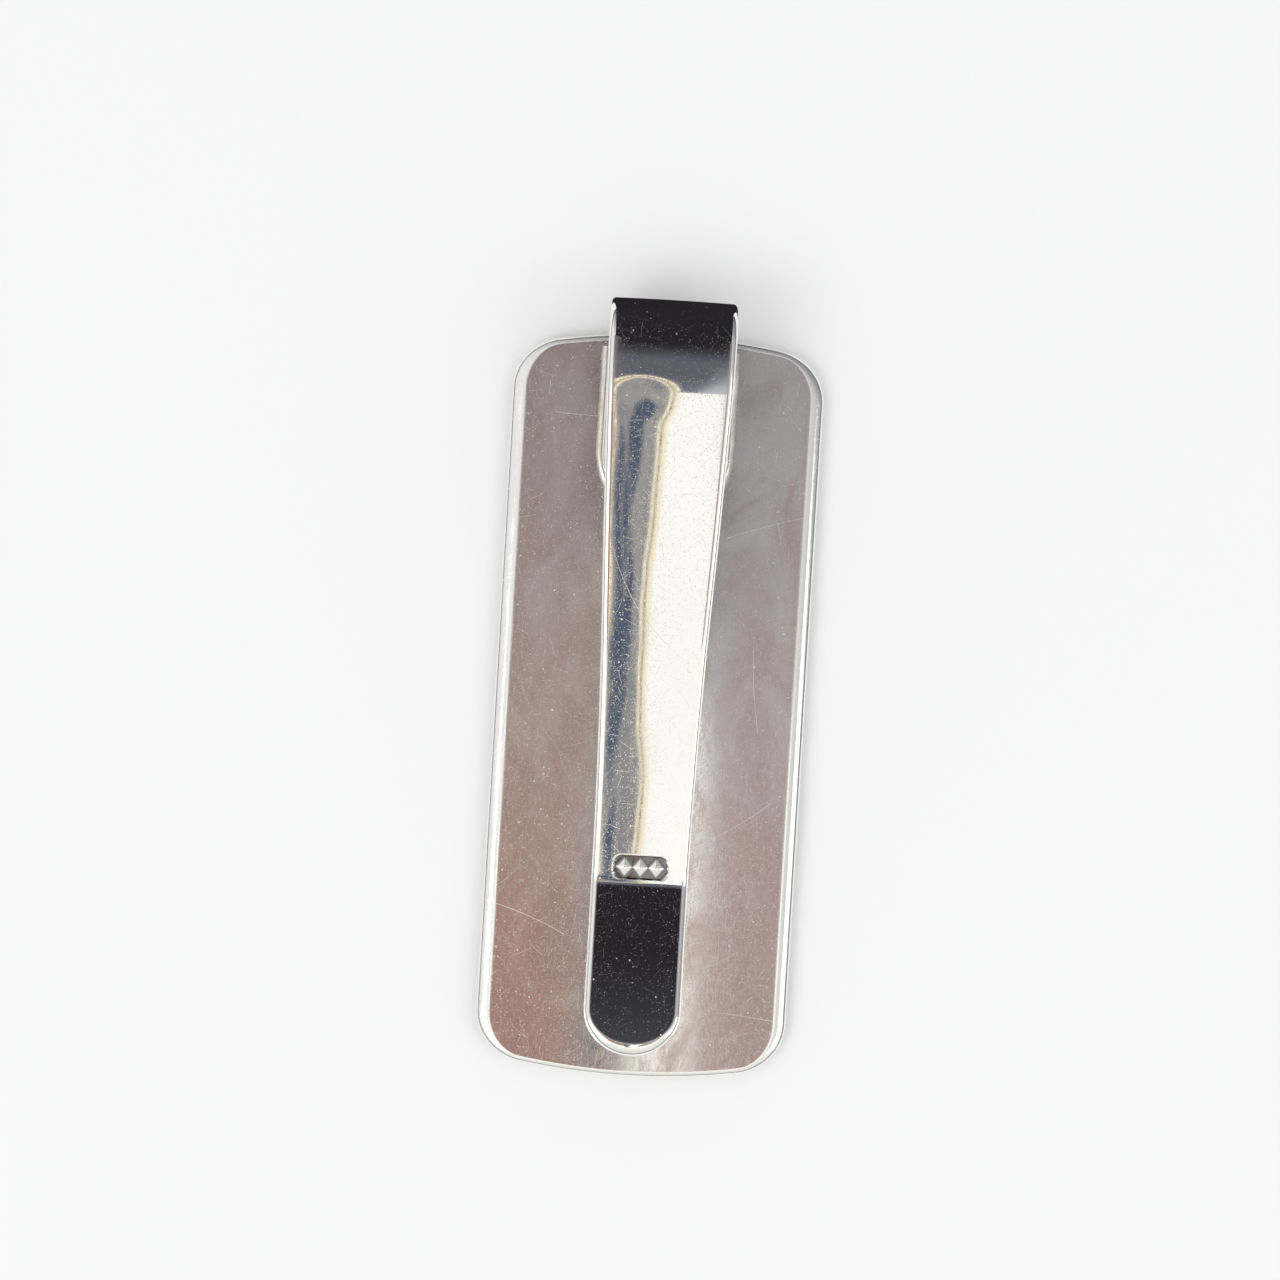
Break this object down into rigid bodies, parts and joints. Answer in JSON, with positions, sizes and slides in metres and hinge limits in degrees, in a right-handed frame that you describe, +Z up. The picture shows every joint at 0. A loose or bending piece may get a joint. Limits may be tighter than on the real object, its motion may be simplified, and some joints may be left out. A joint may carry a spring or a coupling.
{
  "type": "money clip",
  "caption": "Flat silver money clip: a wide cushion-shaped plate with a narrow spring strip that doubles back over its end and tapers to a round, upturned tip.",
  "frame": {"origin": "under the middle of the whole clip, in the plane of the front plate's outer face", "axes": "+Z up from the outer face to the tongue, +Y towards the closed end where the strip doubles back, +X across the clip"},
  "size_m": [0.017, 0.0424, 0.0059],
  "materials": {
    "polished_silver": "mirror-polished sterling silver with fine hairline scratches",
    "handled_silver": "polished sterling silver, rubbed and faintly smudged by notes and fingers",
    "silver_solder": "satin silver solder, a little greyer than the sheet"
  },
  "bodies": {
    "plate": {"front_plate": "handled_silver", "solder_seam": "silver_solder", "spring_foot": "polished_silver"},
    "tongue": {"spring_tongue": "polished_silver"}
  },
  "joints": [
    {"name": "tongue_flex", "type": "hinge", "parent": "plate", "child": "tongue", "pos_m": [0, 0.02006, 0.00359], "axis": [-1, 0, 0], "range_deg": [0, 8], "stiffness_Nm_per_rad": 2}
  ]
}
